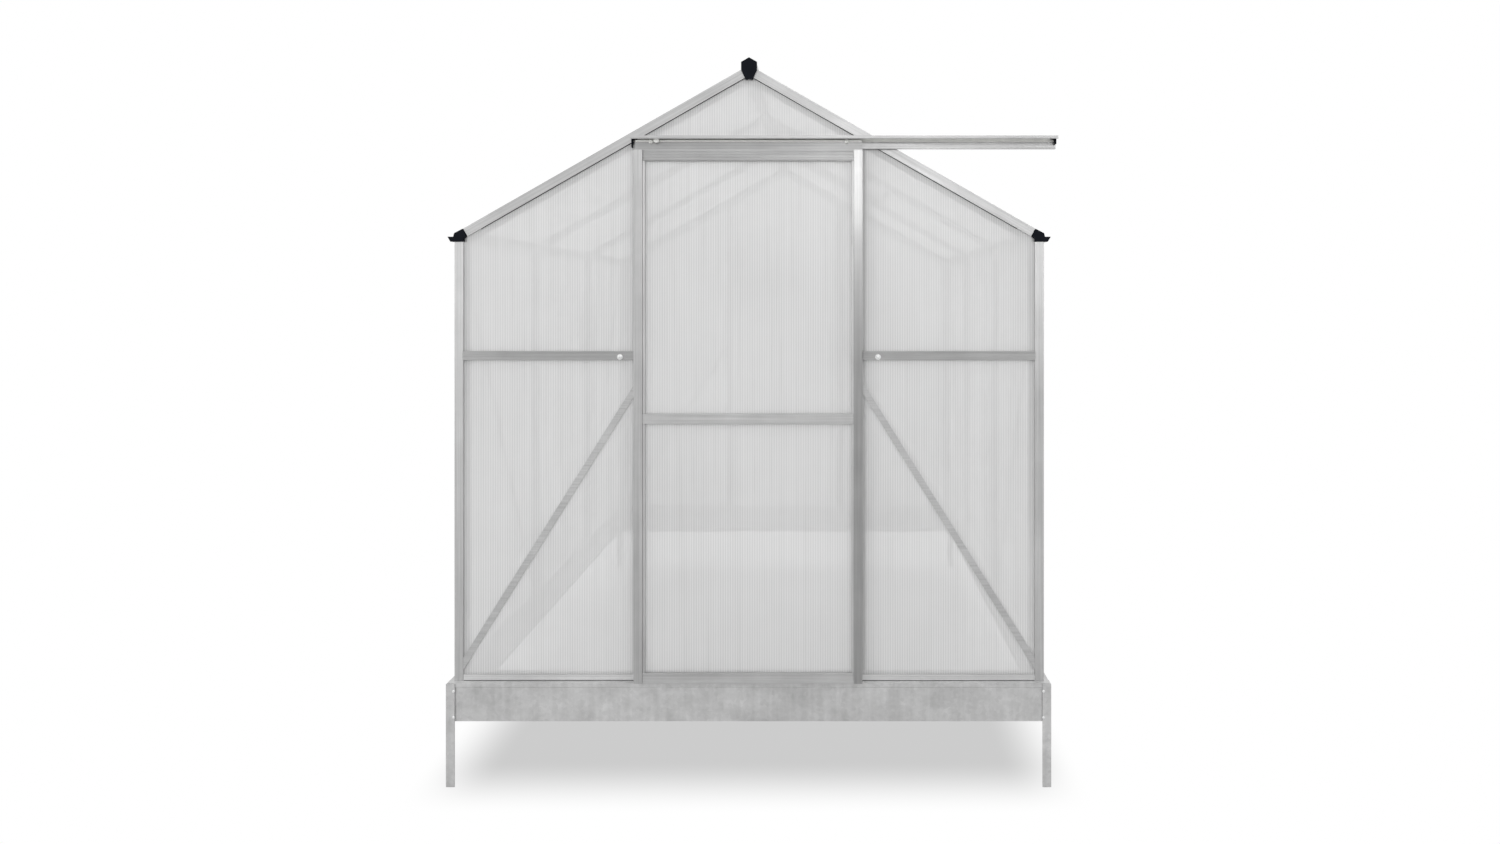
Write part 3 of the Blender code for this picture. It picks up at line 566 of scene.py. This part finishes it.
def make_floor():
    """A wide pale floor with a soft square shadow at the object's foot, deeper under its middle.

    The floor is seen white apart from the shadow, and is greyer in the light it throws back.
    """
    build = bmesh.new()
    bmesh.ops.create_circle(build, cap_ends=True, segments=96, radius=30.0)
    mesh = bpy.data.meshes.new("floor")
    build.to_mesh(mesh)
    build.free()
    floor = bpy.data.objects.new("floor", mesh)
    bpy.context.scene.collection.objects.link(floor)
    made = Finish("pale_floor")
    grain = made.noise((0.4, 0.4, 0.4), 3.0)
    made.feed("Base Color", made.ramp(grain, 0.5, 0.54))
    made.put(Roughness=1.0, Specular_IOR_Level=0.0)
    separate = made.tree.nodes.new("ShaderNodeSeparateXYZ")
    made.tree.links.new(made.coords, separate.inputs[0])
    away = [made.math("ABSOLUTE", made.math("SUBTRACT", socket, middle), 0.0)
            for socket, middle in zip(separate.outputs, ORIGIN[:2])]
    tone = 1.0
    for reach, fade, dark in SHADOWS:
        inner, outer = (HALF + reach - fade) * MM, (HALF + reach + fade) * MM
        sides = [map_range(made.tree, side, inner, outer, 1.0, 0.0) for side in away]
        tone = made.blend(tone, dark, made.math("MULTIPLY", *sides))
    seen = made.tree.nodes.new("ShaderNodeEmission")
    made.tree.links.new(tone, seen.inputs["Color"])
    path = made.tree.nodes.new("ShaderNodeLightPath")
    made.show(mix_shaders(made.tree, path.outputs["Is Camera Ray"], made.shader.outputs[0],
                          seen.outputs[0]))
    mesh.materials.append(made.material)


def make_world():
    """White surroundings, dimmer low down in front of the object than above and behind it."""
    world = bpy.data.worlds.new("studio")
    world.use_nodes = True
    tree = world.node_tree
    tree.nodes.clear()
    coords = tree.nodes.new("ShaderNodeTexCoord")
    separate = tree.nodes.new("ShaderNodeSeparateXYZ")
    tree.links.new(coords.outputs["Generated"], separate.inputs[0])
    ahead = map_range(tree, separate.outputs["Z"], -0.05, 0.45, 0.66, 1.2)
    behind = map_range(tree, separate.outputs["Y"], -0.2, 0.5, 0.0, 1.0)
    strength = tree.nodes.new("ShaderNodeMix")
    set_or_link(tree, strength.inputs[MIX_SHARE], behind)
    set_or_link(tree, strength.inputs[MIX_FIRST_VALUE], ahead)
    set_or_link(tree, strength.inputs[MIX_SECOND_VALUE], 1.15)
    lighting = tree.nodes.new("ShaderNodeBackground")
    tree.links.new(strength.outputs[MIX_VALUE], lighting.inputs["Strength"])
    seen = tree.nodes.new("ShaderNodeBackground")
    for background in (lighting, seen):
        background.inputs["Color"].default_value = (1.0, 1.0, 1.0, 1.0)
    path = tree.nodes.new("ShaderNodeLightPath")
    pick = mix_shaders(tree, path.outputs["Is Camera Ray"], lighting.outputs[0], seen.outputs[0])
    output = tree.nodes.new("ShaderNodeOutputWorld")
    tree.links.new(pick, output.inputs["Surface"])
    bpy.context.scene.world = world


def add_light(name, place, aim, size, power):
    """A square soft light at a place (mm), pointed at another."""
    data = bpy.data.lights.new(name, "AREA")
    data.shape = "SQUARE"
    data.size = size
    data.energy = power
    light = bpy.data.objects.new(name, data)
    light.location = ORIGIN + Vector(place) * MM
    towards = Vector(aim) - Vector(place)
    light.rotation_euler = towards.to_track_quat("-Z", "Y").to_euler()
    bpy.context.scene.collection.objects.link(light)


def make_studio():
    """Camera, floor and soft light."""
    make_camera()
    make_floor()
    make_world()
    for light in LIGHTS:
        add_light(*light)
    scene = bpy.context.scene
    scene.view_settings.view_transform = "Standard"
    scene.view_settings.look = "None"


# ---- fine pieces on the frame -------------------------------------------------------------------
def tee_outline():
    """Glazing bar, as the side studs."""
    face, web, back = BAR_FACE / 2.0, BAR_WEB / 2.0, BAR_TOP + 2.0
    return [
        (-face, BAR_TOP), (face, BAR_TOP), (face, back), (web, back), (web, BAR_DEPTH),
        (-web, BAR_DEPTH), (-web, back), (-face, back),
    ]


def strip_outline():
    """Shallow capping strip with thickened edges and a middle bead, flush with the wall line."""
    half = BAR_FACE / 2.0 - 2.0
    back, dip, edge, bead = 2.4, 1.0, 0.4, 0.3
    return [
        (-half, back), (half, back), (half, edge), (half - 2, edge), (half - 2.6, dip), (2.2, dip),
        (1.4, bead), (-1.4, bead), (-2.2, dip), (2.6 - half, dip), (2 - half, edge), (-half, edge),
    ]


def make_rear_studs():
    """Two glazing bars behind the rear sheet, from the sill to the rafters."""
    foot = BASE_TOP + SILL_BACK + 2 * GAP
    top = roof_line(BAY / 2 + BAR_FACE / 2) - (LEG + 1.0) / COS
    for side, sx in SIDES:
        at = Vector((sx * BAY / 2, HALF, foot))
        prism(f"rear_stud_{side}", tee_outline(), at, X, -Y, Z, top - foot, "frame",
              ALONG["z"])


def make_strips():
    """Capping strips outside the sheets, over every stud and roof bar."""
    low, high = BASE_TOP + 20.0, POST_TOP - 1.0
    start, end = 30.0, 925.0 / COS
    rear_high = roof_line(BAY / 2 + BAR_FACE / 2) - (LIP + 1.0) / COS
    for side, sx in SIDES:
        down, below = slope_directions(sx)
        for place, sy in ENDS:
            y = sy * BAY / 2
            prism(f"side_strip_{side}_{place}", strip_outline(), Vector((sx * HALF, y, low)), Y,
                  -sx * X, Z, high - low, "frame", ALONG["z"], 0.15)
            prism(f"roof_strip_{side}_{place}", strip_outline(), roof_point(sx, start, 0, y), Y,
                  below, down, end - start, "frame", PAINTED_SHADE_ALONG[side], 0.15)
        prism(f"rear_strip_{side}", strip_outline(), Vector((sx * BAY / 2, HALF, low)), X, -Y, Z,
              rear_high - low, "frame", ALONG["z"], 0.15)


def make_rear_plugs():
    """Plugs on the rear ends of the ridge and gutters: the front ones turned about."""
    for node in ("ridge_cap", "gutter_cap_left", "gutter_cap_right"):
        build = bmesh.new()
        build.from_mesh(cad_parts[node].data)
        for vert in build.verts:
            vert.co = (vert.co - ORIGIN) / MM
            vert.co.y = -vert.co.y
        name = node.replace("cap", "cap_rear")
        finish_mesh(name, build, "frame", BLACK, 0.8, 0.0)


def make_strap(name, start, end, normal):
    """A flat strap between two points of a wall's inner side."""
    along = (end - start).normalized()
    across = normal.cross(along)
    half = STRAP_WIDTH / 2.0
    outline = [(-half, 0), (half, 0), (half, STRAP_THICK), (-half, STRAP_THICK)]
    build = bmesh.new()
    add_prism(build, outline, start, across, normal, along, (end - start).length)
    finish_mesh(name, build, "frame", ALONG["z"], 0.3)


def make_braces():
    """Straps behind the side and rear sheets."""
    plane = HALF - BAR_TOP - 2.4
    low, high = BASE_TOP + 45.0, POST_TOP - 30.0
    for side, sx in SIDES:
        for end, sy in ENDS:
            start = Vector((sx * plane, sy * (HALF - 38.0), high))
            stop = Vector((sx * plane, sy * (BAY / 2 + 16.0), low))
            make_strap(f"side_brace_{side}_{end}", start, stop, -sx * X)
        start = Vector((sx * (BAY / 2 + 14.0), plane, BRACE_HIGH))
        stop = Vector((sx * (HALF - 40.0), plane, low))
        make_strap(f"rear_brace_{side}", start, stop, -Y)


def make_rail_ribs(name, low, length, rows, rise, ease, body, finish):
    """Ribs along x on a rail's front, from its low corner; rows are (foot, height) pairs."""
    build = bmesh.new()
    for foot, tall in rows:
        outline = [(0, 0), (ease, rise), (tall - ease, rise), (tall, 0)]
        add_prism(build, outline, low + Z * foot, Z, -Y, X, length)
    finish_mesh(name, build, body, finish)


def make_ribs():
    """Raised lines along the front rails, where their extrusions are ribbed."""
    rows = ((0.2, 1.6), (7.6, 4.6), (16.2, 4.6), (22.6, 1.6))
    for side, _ in SIDES:
        low, high = local_box(f"front_mid_rail_{side}")
        make_rail_ribs(f"front_mid_rail_ribs_{side}", low, high.x - low.x, rows, 1.4, 0.3,
                       "frame", RAIL_X_PAINTED_SHADE)
    rows = ((0.4, 2.2), (6.0, 1.6), (24.2, 1.6), (29.2, 2.2))
    for place in ("mid", "bottom"):
        low, high = local_box(f"door_rail_{place}")
        make_rail_ribs(f"door_rail_ribs_{place}", low, high.x - low.x, rows, 0.7, 0.3,
                       "door", ALONG["x"])
    rows = ((1.0, 2.4), (9.0, 4.0), (18.0, 4.0), (27.0, 2.4))
    inset = STILE_FACE + 2 * GAP
    low, high = local_box("door_rail_top")
    foot = Vector((low.x + inset, -HALF - HEAD_RAIL_FACE, low.z))
    make_rail_ribs("door_rail_ribs_top", foot, high.x - low.x - 2 * inset, rows, 0.8, 0.4,
                   "door", HEAD_X_PAINTED_SHADE)


def make_bolts():
    """Fasteners that show, grouped by where they are."""
    across, plane = 405.6, local_box("front_mid_rail_left")[0].y - 0.8
    places = [(Vector((sx * across, plane, RAIL_LEVEL - 4.0)), -Y) for sx in (-1, 1)]
    fasteners("mid_rail_screws", places, "pan", "frame", ZINC)
    across = STAKE_PLANE - 24.0
    places = []
    for level in (BASE_TOP - 24.0, BASE_TOP - 106.0):
        for sx in (-1, 1):
            places.append((Vector((sx * across, -STAKE_PLANE, level)), -Y))
            for sy in (-1, 1):
                places.append((Vector((sx * STAKE_PLANE, sy * across, level)), sx * X))
    fasteners("base_corner_screws", places, "pan", "frame", ZINC, 0.5)


def eave_gusset():
    """Outline of the plate that joins a post to its rafter, and the places of its bolts."""
    upper, lower, bolt_line = 16.0 / COS, 46.0 / COS, 31.0 / COS
    inner, elbow, outer = 815, 883, 913
    foot, top = POST_TOP - 90, POST_TOP - 2
    outline = [
        (outer, foot), (outer, top), (outer - 16, top), (outer - 16, roof_line(outer - 16) - upper),
        (inner, roof_line(inner) - upper), (inner, roof_line(inner) - lower),
        (elbow, roof_line(elbow) - lower), (elbow, foot),
    ]
    bolts = ((898, POST_TOP - 72), (898, POST_TOP - 32), (836, roof_line(836) - bolt_line))
    return outline, bolts


def crown_gusset():
    """Outline of the plate that joins a rafter to the ridge, and the places of its bolts."""
    upper, lower, bolt_line = 16.0 / COS, 46.0 / COS, 31.0 / COS
    inner, elbow, outer = 4, 22, 78
    outline = [
        (inner, roof_line(inner) - upper), (outer, roof_line(outer) - upper),
        (outer, roof_line(outer) - lower), (elbow, roof_line(elbow) - lower),
        (inner, roof_line(inner) - lower - 8),
    ]
    bolts = ((60, roof_line(60) - bolt_line), (20, roof_line(20) - bolt_line))
    return outline, bolts


def make_gussets():
    """Corner plates that bolt the posts, rafters and ridge together, with their bolts."""
    eave, eave_bolts = eave_gusset()
    crown, crown_bolts = crown_gusset()
    places = []
    for end, sy in ENDS:
        plane = Vector((0, sy * GUSSET_PLANE, 0))
        for side, sx in SIDES:
            build = bmesh.new()
            for outline in (eave, crown):
                add_prism(build, outline, plane, sx * X, Z, -sy * Y, GUSSET_THICK)
            finish_mesh(f"gussets_{end}_{side}", build, "frame", STEEL, 0.4, 0.0)
            for x, z in eave_bolts + crown_bolts:
                head = Vector((sx * x, sy * (GUSSET_PLANE - GUSSET_THICK), z))
                places.append((head, -sy * Y))
    fasteners("gusset_bolts", places, "hex", "frame", ZINC, 0.8)


def make_rafter_shadow_strips():
    """Thin dark rubber lines where the gable sheets tuck in behind the rafters, standing in for the
    shadow in the gap there.
    """
    start, stop = 40.0, 860.0 / COS
    outline = [(28.2, 0.7), (29.6, 0.9), (29.9, 2.5), (28.2, 2.5)]
    for end, sy in ENDS:
        for side, sx in SIDES:
            down, below = slope_directions(sx)
            prism(f"rafter_shadow_strip_{end}_{side}", outline, roof_point(sx, start, 0, sy * HALF), below,
                  -sy * Y, down, stop - start, "frame", RUBBER, 0.0)


def make_sill_shadow_strips():
    """Thin dark rubber beads in the corner between each sill's foot and the base, standing in for the
    shadow line there.
    """
    reach = HALF - 30.0
    bead = [(0, 0), (-1.2, 0), (-1.0, 0.7), (0, 1.2)]
    for side, outward, along in (("front", -Y, X), ("rear", Y, X), ("left", -X, Y), ("right", X, Y)):
        at = outward * HALF - along * reach + Z * (BASE_TOP + 0.1)
        prism(f"sill_shadow_strip_{side}", bead, at, -outward, Z, along, 2 * reach, "frame",
              RUBBER, 0.0)


def make_guide_roller():
    """The small roller on the front of the door's hanging plate, at its left end."""
    across, level = -287.0, BASE_TOP + 1699.5
    profile = [
        (0, 0), (8.0, 0), (8.8, 0.6), (8.8, 11.0), (8.2, 11.6), (3.0, 11.6), (2.4, 10.8), (0, 10.8),
    ]
    build = bmesh.new()
    add_lathe(build, profile, 28, facing(Vector((across, -HALF - 16.0, level)), -Y))
    finish_mesh("door_guide_roller", build, "door", NYLON)


def make_door_lines():
    """The beads that hold the door's sheets, and the pile seals behind its stiles."""
    low, high = local_box("door_stile_left")
    seal_foot, seal_length = BASE_TOP + 36.0, 1590.0
    bead = [(0, 0), (6.2, 0), (6.2, 1.2), (5.0, 2.0), (0, 2.6)]
    seal = [
        (0, 0.3), (6, 0.3), (6, 1.6), (4.2, 2.2), (3.8, 12.4), (2.2, 12.4), (1.8, 2.2), (0, 1.6),
    ]
    for side, sx in SIDES:
        # the beads take the lighter aluminium, painted light over the shade on the stiles' lips
        at = Vector((sx * (DOOR_HALF - STILE_FACE - 0.2), -HALF - 26.1, low.z + 1.0))
        prism(f"door_bead_{side}", bead, at, -sx * X, -Y, Z, high.z - low.z - 2.0, "door",
              PAINTED_LIGHT_Z, 0.2)
        at = Vector((sx * (OPENING_HALF + 14.0), -HALF, seal_foot))
        prism(f"jamb_seal_{side}", seal, at, sx * X, -Y, Z, seal_length, "frame",
              RUBBER, 0.2)


def make_wheel_axles():
    """Capped axle bolts through the door's wheels and hanging plate."""
    cap, shank = 6.0, HANGER_FACE - 2.6
    for side, _ in SIDES:
        low, high = local_box(f"door_wheel_{side}")
        middle = (low + high) / 2
        place = facing(Vector((middle.x, -HALF - HANGER_FACE, middle.z)), -Y)
        build = bmesh.new()
        add_washer(build, 6.6, cap, place)
        add_pan_head(build, 5.2, 3.0, place @ Matrix.Translation((0, 0, cap - 0.1)))
        add_lathe(build, [(0, -shank), (2.3, -shank), (2.3, 0.4), (0, 0.4)], 20, place)
        finish_mesh(f"door_wheel_axle_{side}", build, "door", NYLON)


def make_hanger_painted_light_strip():
    """White nylon strip along the front of the door's hanging plate, near its top, its white painting
    light into the shade under the track's hood.
    """
    low, high = local_box("door_rail_top")
    edge = [(0, 0), (5.4, 0), (5.4, 2.2), (1.0, 1.8)]
    at = Vector((low.x + 1.0, -HALF - HANGER_FACE, high.z - 5.6))
    prism("door_hanger_painted_light_strip", edge, at, Z, -Y, X, high.x - low.x - 2.0, "door",
          NYLON, 0.0)


def make_track_fittings():
    """The bead along the track's hood, the white glide strip inside it, whose white paints light into
    the hood's shaded underside, and its black end stops, whose black also paints the shadow at the
    track's ends.
    """
    low, high = local_box("door_track")
    inner = -HALF - 2.8
    bead = [(0, 0), (1.6, 0), (1.6, 1.8), (0.5, 1.8)]
    prism("track_hood_bead", bead, Vector((low.x, low.y, high.z - 9.8)), Y, Z, X, high.x - low.x,
          "frame", PAINTED_SHADE_ALONG["x"], 0.0)
    # white glide strip: its white paints light into the shaded underside of the hood
    strip = [(0, 0), (32.6, 0), (32.6, -0.6), (4.8, -0.6), (1.4, -4.0), (1.2, -11.0), (0, -11.0)]
    prism("track_painted_light_glide_strip", strip, Vector((low.x + 1.0, inner, high.z - 2.1)), -Y, Z, X,
          high.x - low.x - 2.0, "frame", NYLON, 0.0)
    # black end stops: their black also paints the shadow at the track's ends
    for side, x, inward, foot in (("left", low.x, X, 2.2), ("right", high.x, -X, 13.0)):
        stop = [(0.5, foot), (4.2, foot), (4.2, 27.5), (17.0, 31.0), (17.0, 33.4), (0.5, 33.4)]
        prism(f"track_stop_and_painted_shadow_{side}", stop, Vector((x, inner, low.z)), inward, Z, -Y, 18.0, "frame",
              BLACK, 0.6)


# ---- roof vent ----------------------------------------------------------------------------------
VENT_FACE, VENT_WALL, VENT_LIP = 26.0, 2.0, 1.8    # frame's width, outer wall and sheet lips
VENT_FOOT = 0.3                                    # frame's underside, above the roof line


def vent_section():
    """Section of the vent's frame: (inward from its outer edge, above the roof line)."""
    face, wall, foot, top = VENT_FACE, VENT_WALL, VENT_FOOT, VENT_FOOT + VENT_THICK
    shelf = foot + 4.0
    return [
        (0, foot), (wall, foot), (wall, shelf), (face, shelf), (face, shelf + VENT_LIP),
        (wall, shelf + VENT_LIP), (wall, top - wall), (face - 4, top - wall),
        (face - 4, top - wall - VENT_LIP), (face, top - wall - VENT_LIP), (face, top), (0, top),
    ]


def make_vent_frame():
    """The vent's four frame bars, mitred at the corners, in place of the plain slab."""
    down, below = slope_directions(1)
    apex = roof_point(1, 0, 0)
    middle, half_length = (VENT_TOP + VENT_END) / 2, (VENT_END - VENT_TOP) / 2
    bars = (
        (down * VENT_TOP, down, Y, VENT_HALF),
        (down * VENT_END, -down, Y, VENT_HALF),
        (down * middle - Y * VENT_HALF, Y, down, half_length),
        (down * middle + Y * VENT_HALF, -Y, down, half_length),
    )
    section = vent_section()
    count = len(section)
    build = bmesh.new()
    for outer_edge, inward, along, half in bars:
        ends = []
        for sign in (-1.0, 1.0):
            ends.append([
                build.verts.new(apex + outer_edge + inward * d - below * h + along * sign * (half - d))
                for d, h in section
            ])
        build.faces.new(ends[0])
        build.faces.new(ends[1])
        for i in range(count):
            j = (i + 1) % count
            build.faces.new((ends[0][i], ends[0][j], ends[1][j], ends[1][i]))
    piece = finish_mesh("vent_frame", build, "roof_vent", PAINTED_SHADE_ALONG["y"], 0.3)
    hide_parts("roof_vent")


def make_vent_panel():
    """The vent's sheet, between the lips of its frame."""
    down, below = slope_directions(1)
    edge, underside, thick = 4.0, 6.0, 4.0
    outline = [
        (-VENT_HALF + edge, VENT_TOP + edge), (VENT_HALF - edge, VENT_TOP + edge),
        (VENT_HALF - edge, VENT_END - edge), (-VENT_HALF + edge, VENT_END - edge),
    ]
    at = roof_point(1, 0, 0) - below * (VENT_FOOT + underside)
    prism("vent_panel", outline, at, Y, down, -below, thick, "roof_vent",
          CLEAR_Y, 0.0)


def make_vent_hinge_bead():
    """The round bead on the vent's hinge line."""
    inset = 4.0
    length = 2 * (VENT_HALF - inset)
    profile = [
        (0, 0), (2.2, 0), (2.6, 0.4), (2.6, length - 0.4), (2.2, length), (0, length),
    ]
    build = bmesh.new()
    add_lathe(build, profile, 20, facing(roof_point(1, *VENT_HINGE, -VENT_HALF + inset), Y))
    finish_mesh("vent_hinge_bead", build, "roof_vent", ALONG["y"])


def turned(down, depth, angle):
    """Slope coordinates turned about the origin, the way the vent opens."""
    return (down * math.cos(angle) + depth * math.sin(angle),
            depth * math.cos(angle) - down * math.sin(angle))


def peg_place():
    """Where the stay's last hole comes, in slope coordinates, when the vent stands fully open."""
    arm = turned(STAY_PIVOT[0] - VENT_HINGE[0], STAY_PIVOT[1] - VENT_HINGE[1], VENT_OPEN)
    reach = turned(0.0, STAY_HOLES[-1], VENT_OPEN - STAY_TURN)
    return VENT_HINGE[0] + arm[0] + reach[0], VENT_HINGE[1] + arm[1] + reach[1]


def make_vent_sill():
    """The angle bar across the foot of the vent's hole, and the bracket and peg that it carries."""
    down, below = slope_directions(1)
    half = BAY / 2 - 20.0
    sill = [(566, 7.0), (590, 7.0), (590, 30.0), (588, 30.0), (588, 9.0), (566, 9.0)]
    build = bmesh.new()
    add_prism(build, sill, roof_point(1, 0, 0, -half), down, below, Y, 2 * half)
    finish_mesh("vent_sill", build, "frame", ALONG["y"], 0.3, 0.0)
    across, depth = peg_place()
    bracket = [
        (570, 9.3), (587, 9.3), (587, depth), (580, depth + 7.0), (across, depth + 7.0),
        (across - 6.0, depth + 2.5), (across - 6.0, depth - 2.5), (across, depth - 7.0),
    ]
    peg = [
        (0, 0), (2.8, 0), (2.8, 12.0), (3.6, 12.6), (3.6, 14.0), (2.8, 14.8), (0, 14.8),
    ]
    build = bmesh.new()
    add_prism(build, bracket, roof_point(1, 0, 0, 4.0), down, below, Y, 2.0)
    add_lathe(build, peg, 20, facing(roof_point(1, across, depth, 5.0), -Y))
    finish_mesh("vent_peg", build, "frame", ZINC)


def make_stay_fittings():
    """The screw that the stay turns on, and the lug behind it."""
    down, below = slope_directions(1)
    washer = 0.9
    head = roof_point(1, *STAY_PIVOT, -1.9)
    build = bmesh.new()
    add_washer(build, 5.5, washer, facing(head, -Y))
    add_pan_head(build, 3.8, 2.4, facing(head - washer * Y, -Y))
    add_lathe(build, [(0, -3.9), (1.8, -3.9), (1.8, 0.5), (0, 0.5)], 16, facing(head, -Y))
    finish_mesh("vent_stay_screw", build, "roof_vent", ZINC)
    lug = [(-9, -2.5), (9, -2.5), (7, 6), (-7, 6)]
    build = bmesh.new()
    add_prism(build, lug, roof_point(1, *STAY_PIVOT, 2.0), down, below, Y, 2.0)
    finish_mesh("vent_stay_lug", build, "roof_vent", ALONG["y"], 0.3, 0.0)


def make_stay_holes():
    """Drill the stay for its peg with a hidden cutter."""
    _, below = slope_directions(1)
    radius, length = 3.4, 12.0
    profile = [(0, 0), (radius, 0), (radius, length), (0, length)]
    build = bmesh.new()
    for distance in STAY_HOLES:
        at = roof_point(1, *STAY_PIVOT, -length / 2) + below * distance
        add_lathe(build, profile, 20, facing(at, Y))
    cutter = finish_mesh("stay_drill", build, "vent_stay", ZINC)
    cutter.hide_render = True
    cutter.hide_viewport = True
    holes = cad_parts["vent_stay"].modifiers.new("holes", "BOOLEAN")
    holes.operation = "DIFFERENCE"
    holes.object = cutter


make_studio()
make_rear_studs()
make_strips()
make_rear_plugs()
make_braces()
make_ribs()
make_bolts()
make_gussets()
make_rafter_shadow_strips()
make_sill_shadow_strips()
make_guide_roller()
make_door_lines()
make_wheel_axles()
make_hanger_painted_light_strip()
make_track_fittings()
make_vent_frame()
make_vent_panel()
make_vent_hinge_bead()
make_vent_sill()
make_stay_fittings()
make_stay_holes()
